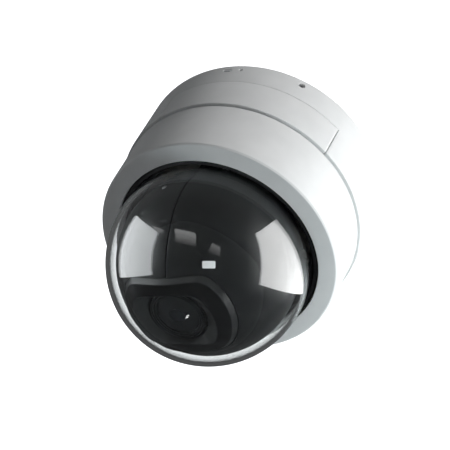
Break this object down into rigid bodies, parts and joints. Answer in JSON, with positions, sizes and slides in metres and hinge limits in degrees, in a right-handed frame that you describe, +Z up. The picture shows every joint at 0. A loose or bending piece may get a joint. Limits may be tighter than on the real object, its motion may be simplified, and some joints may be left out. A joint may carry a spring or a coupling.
{
  "type": "dome security camera",
  "caption": "Ceiling dome security camera: tapered white casing, clear bubble, and a black ball with a lens that pans, tilts and zooms.",
  "frame": {"origin": "centre of the flat face that lies against the ceiling", "axes": "+Z up into the ceiling, so the camera hangs down to -Z; the side cover over the cable space is on the -Y side"},
  "size_m": [0.11, 0.11, 0.0992],
  "materials": {
    "shell_white": "satin moulded polycarbonate",
    "steel": "bright steel",
    "plate_metal": "stamped plate",
    "rubber_black": "moulded rubber",
    "board_green": "solder-masked laminate",
    "nylon_natural": "natural acetal",
    "dark_plastic": "glass-filled nylon",
    "gloss_black": "semi-gloss moulded black",
    "badge_white": "plain white plaque",
    "light_pipe": "frosted light pipe",
    "brass": "drawn brass",
    "lens_glass": "coated lens",
    "filter_glass": "coated filter",
    "dome_clear": "clear hard-coated polycarbonate"
  },
  "bodies": {
    "casing": {"mount_plate": "plate_metal", "cable_grommet": "rubber_black", "base_shell": "shell_white", "set_screw": "steel", "reset_switch": "dark_plastic", "status_light_pipe": "light_pipe", "seam_gasket": "rubber_black", "main_board": "board_green", "network_jack": "plate_metal", "chassis_plate": "plate_metal", "board_screw_1": "steel", "board_screw_2": "steel", "board_screw_3": "steel", "chassis_screw_1": "steel", "chassis_screw_2": "steel", "chassis_screw_3": "steel", "pan_motor": "steel", "pan_race": "steel", "race_clip": "steel", "lower_housing": "shell_white", "dome_bubble": "dome_clear", "dome_gasket": "rubber_black", "dome_clamp": "dark_plastic", "clamp_screw_1": "steel", "clamp_screw_2": "steel", "clamp_screw_3": "steel"},
    "conduit_door": {"conduit_door": "shell_white"},
    "reset_button": {"reset_button": "dark_plastic"},
    "pan_pinion": {"pan_pinion": "brass"},
    "pan_yoke": {"turntable": "nylon_natural", "yoke_arm_left": "dark_plastic", "yoke_arm_right": "dark_plastic", "arm_bush_left": "nylon_natural", "arm_bush_right": "nylon_natural", "arm_screw_left": "steel", "arm_screw_right": "steel", "tilt_motor": "steel", "tilt_motor_bracket": "plate_metal"},
    "tilt_pinion": {"tilt_pinion": "brass"},
    "camera_ball": {"tilt_gear": "nylon_natural", "tilt_frame": "dark_plastic", "tilt_shaft_left": "steel", "tilt_shaft_right": "steel", "ball_shell_front": "gloss_black", "ball_shell_rear": "gloss_black", "shell_screw_left": "steel", "shell_screw_right": "steel", "nose_hood": "gloss_black", "blank_badge": "badge_white", "lens_barrel": "gloss_black", "lens_trim_ring": "gloss_black", "front_lens": "lens_glass", "guide_rod": "steel", "zoom_coil": "brass", "filter_coil": "brass", "sensor_board": "board_green", "image_sensor": "dark_plastic"},
    "zoom_carriage": {"zoom_carriage": "dark_plastic"},
    "ir_filter": {"ir_filter": "filter_glass"}
  },
  "joints": [
    {"name": "pan", "type": "hinge", "parent": "casing", "child": "pan_yoke", "pos_m": [0, 0, -0.027], "axis": [0, 0, 1], "range_deg": [-175, 175]},
    {"name": "pan_pinion_spin", "type": "hinge", "parent": "casing", "child": "pan_pinion", "pos_m": [0.03843, 0.01399, -0.027], "axis": [0, 0, 1], "range_deg": [-1121, 1121]},
    {"name": "tilt", "type": "hinge", "parent": "pan_yoke", "child": "camera_ball", "pos_m": [0, 0, -0.0601], "axis": [0.6691, 0.7431, 0], "range_deg": [0, 70]},
    {"name": "tilt_pinion_spin", "type": "hinge", "parent": "pan_yoke", "child": "tilt_pinion", "pos_m": [0, 0, -0.04145], "axis": [0.6691, 0.7431, 0], "range_deg": [-249, 0]},
    {"name": "zoom", "type": "slide", "parent": "camera_ball", "child": "zoom_carriage", "axis": [0, 0, 1], "range_m": [0, 0.0045]},
    {"name": "ir_filter_slide", "type": "slide", "parent": "camera_ball", "child": "ir_filter", "axis": [0.7431, -0.6691, 0], "range_m": [0, 0.009]},
    {"name": "reset_press", "type": "slide", "parent": "casing", "child": "reset_button", "axis": [0.5299, 0.848, 0], "range_m": [0, 0.0006], "stiffness_N_per_m": 200, "springref_m": -0.001},
    {"name": "door_pull", "type": "slide", "parent": "casing", "child": "conduit_door", "axis": [-0.3827, -0.9239, 0], "range_m": [0, 0.008]}
  ],
  "couplings": [
    {"joint": "pan_pinion_spin", "follows": "pan", "ratio": -6.4},
    {"joint": "tilt_pinion_spin", "follows": "tilt", "ratio": -3.5556}
  ]
}
